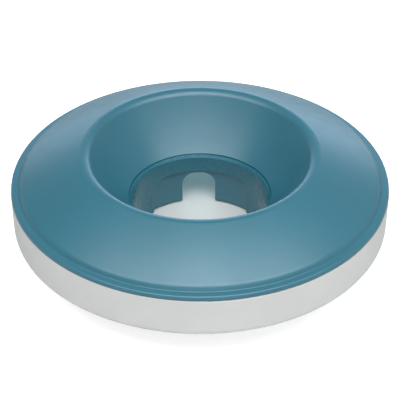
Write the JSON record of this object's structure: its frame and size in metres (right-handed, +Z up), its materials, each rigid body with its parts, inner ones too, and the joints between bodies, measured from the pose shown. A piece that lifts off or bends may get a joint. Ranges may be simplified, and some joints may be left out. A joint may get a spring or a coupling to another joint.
{
  "type": "rocking slow feeder bowl",
  "caption": "Round rocking pet bowl with a convex dish, a domed funnel cover with arched outlets and a turning ring that opens and shuts them.",
  "frame": {"origin": "on the floor, below the middle of the sole", "axes": "+Z up along the bowl's axis, +Y towards the outlet that the ring's back window faces"},
  "size_m": [0.2302, 0.2302, 0.0715],
  "materials": {
    "base_plastic": "pale warm grey, fine matte texture",
    "sole_rubber": "soft, matte dark grey",
    "cover_plastic": "teal blue, satin with a fine texture",
    "ring_plastic": "teal blue, smoother than the cover"
  },
  "bodies": {
    "base": {"base": "base_plastic", "non_slip_sole": "sole_rubber"},
    "cover": {"cover": "cover_plastic"},
    "adjuster_ring": {"adjuster_ring": "ring_plastic"}
  },
  "joints": [
    {"name": "cover_lift", "type": "slide", "parent": "base", "child": "cover", "axis": [0, 0, 1], "range_m": [0, 0.06]},
    {"name": "ring_turn", "type": "hinge", "parent": "cover", "child": "adjuster_ring", "pos_m": [0, 0, 0.0381], "axis": [0, 0, 1], "range_deg": [0, 61]}
  ]
}
